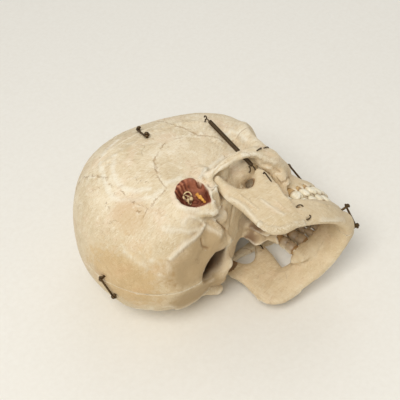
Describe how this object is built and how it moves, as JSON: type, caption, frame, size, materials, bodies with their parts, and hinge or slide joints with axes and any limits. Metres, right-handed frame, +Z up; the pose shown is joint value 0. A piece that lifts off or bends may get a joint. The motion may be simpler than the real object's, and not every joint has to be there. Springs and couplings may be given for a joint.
{
  "type": "dissected human skull",
  "caption": "Teaching skull sawn into cap, cranium halves and jaw halves, with hooks, a spring-closed jaw, separate teeth and an opened ear.",
  "frame": {"origin": "middle of the underside of the skull's bounding box, where it lies on its left side", "axes": "+X towards the face, +Y towards the crown, +Z up through the right side"},
  "size_m": [0.1974, 0.2038, 0.1315],
  "materials": {
    "aged_bone": "matte, dry and ivory-coloured bone",
    "thin_bone": "matte thin bone",
    "tooth": "glossy aged enamel",
    "dark_brass": "dark tarnished wire and pins",
    "dark_steel": "dark spring wire",
    "canal_paint": "painted pale canals",
    "nerve_paint": "yellow-orange paint"
  },
  "bodies": {
    "cranium_left": {"calvarium_left_pivot_pin": "dark_brass", "cranium_left_half": "aged_bone", "left_jaw_spring": "dark_steel", "left_spring_anchor": "dark_steel", "maxilla_pivot_pin": "dark_brass", "nasal_septum": "thin_bone", "occiput_pivot_pin": "dark_brass", "upper_left_canine": "tooth", "upper_left_central_incisor": "tooth", "upper_left_first_molar": "tooth", "upper_left_first_premolar": "tooth", "upper_left_lateral_incisor": "tooth", "upper_left_second_molar": "tooth", "upper_left_second_premolar": "tooth"},
    "cranium_right": {"calvarium_right_pivot_pin": "dark_brass", "cheek_staple_back": "dark_brass", "cheek_staple_front": "dark_brass", "cranium_right_half": "aged_bone", "facial_nerve": "nerve_paint", "inner_ear_canals": "canal_paint", "maxilla_catch_pin": "dark_brass", "occiput_catch_pin": "dark_brass", "right_jaw_spring": "dark_steel", "right_spring_anchor": "dark_steel", "upper_right_canine": "tooth", "upper_right_central_incisor": "tooth", "upper_right_first_molar": "tooth", "upper_right_first_premolar": "tooth", "upper_right_lateral_incisor": "tooth", "upper_right_second_molar": "tooth", "upper_right_second_premolar": "tooth"},
    "calvarium": {"calvarium": "aged_bone", "calvarium_left_catch_pin": "dark_brass", "calvarium_right_catch_pin": "dark_brass"},
    "mandible_left": {"chin_pivot_pin": "dark_brass", "left_jaw_wire": "dark_steel", "lower_left_canine": "tooth", "lower_left_central_incisor": "tooth", "lower_left_first_molar": "tooth", "lower_left_first_premolar": "tooth", "lower_left_lateral_incisor": "tooth", "lower_left_second_molar": "tooth", "lower_left_second_premolar": "tooth", "mandible_left_half": "aged_bone"},
    "mandible_right": {"chin_catch_pin": "dark_brass", "lower_right_canine": "tooth", "lower_right_central_incisor": "tooth", "lower_right_first_molar": "tooth", "lower_right_first_premolar": "tooth", "lower_right_lateral_incisor": "tooth", "lower_right_second_molar": "tooth", "lower_right_second_premolar": "tooth", "mandible_right_half": "aged_bone", "right_jaw_wire": "dark_steel"},
    "calvarium_right_hook": {"calvarium_right_hook": "dark_brass"},
    "calvarium_left_hook": {"calvarium_left_hook": "dark_brass"},
    "occiput_hook": {"occiput_hook": "dark_brass"},
    "maxilla_hook": {"maxilla_hook": "dark_brass"},
    "chin_hook": {"chin_hook": "dark_brass"}
  },
  "joints": [
    {"name": "halves_apart", "type": "slide", "parent": "cranium_left", "child": "cranium_right", "axis": [-0.0052, -0.0297, 0.9995], "range_m": [0, 0.12]},
    {"name": "calvarium_lift", "type": "slide", "parent": "cranium_left", "child": "calvarium", "axis": [-0.0002, 0.9996, 0.0297], "range_m": [0, 0.1]},
    {"name": "jaw_opening_left", "type": "hinge", "parent": "cranium_left", "child": "mandible_left", "pos_m": [0.00918, -0.01886, 0.06398], "axis": [0.0052, 0.0297, -0.9995], "range_deg": [0, 20], "stiffness_Nm_per_rad": 0.12, "springref_deg": -17.19, "deforming": ["left_jaw_spring"]},
    {"name": "jaw_opening_right", "type": "hinge", "parent": "cranium_right", "child": "mandible_right", "pos_m": [0.00918, -0.01886, 0.06398], "axis": [0.0052, 0.0297, -0.9995], "range_deg": [0, 20], "stiffness_Nm_per_rad": 0.12, "springref_deg": -17.19, "deforming": ["right_jaw_spring"]},
    {"name": "calvarium_right_hook_swing", "type": "hinge", "parent": "cranium_right", "child": "calvarium_right_hook", "pos_m": [-0.00248, 0.04927, 0.12713], "axis": [0.1758, 0.269, 0.947], "range_deg": [0, 100]},
    {"name": "calvarium_left_hook_swing", "type": "hinge", "parent": "cranium_left", "child": "calvarium_left_hook", "pos_m": [-0.00184, 0.05289, 0.00487], "axis": [0.1909, 0.3046, -0.9331], "range_deg": [-100, 0]},
    {"name": "occiput_hook_swing", "type": "hinge", "parent": "cranium_left", "child": "occiput_hook", "pos_m": [-0.09143, -0.00269, 0.05057], "axis": [-0.9787, -0.1889, -0.0808], "range_deg": [0, 100]},
    {"name": "maxilla_hook_swing", "type": "hinge", "parent": "cranium_left", "child": "maxilla_hook", "pos_m": [0.08797, -0.04002, 0.06095], "axis": [0.967, 0.2538, -0.0237], "range_deg": [0, 100]},
    {"name": "chin_hook_swing", "type": "hinge", "parent": "mandible_left", "child": "chin_hook", "pos_m": [0.08497, -0.09583, 0.05718], "axis": [0.9299, -0.2417, 0.2772], "range_deg": [-100, 0]}
  ],
  "couplings": [
    {"joint": "jaw_opening_right", "follows": "jaw_opening_left", "ratio": 1}
  ]
}
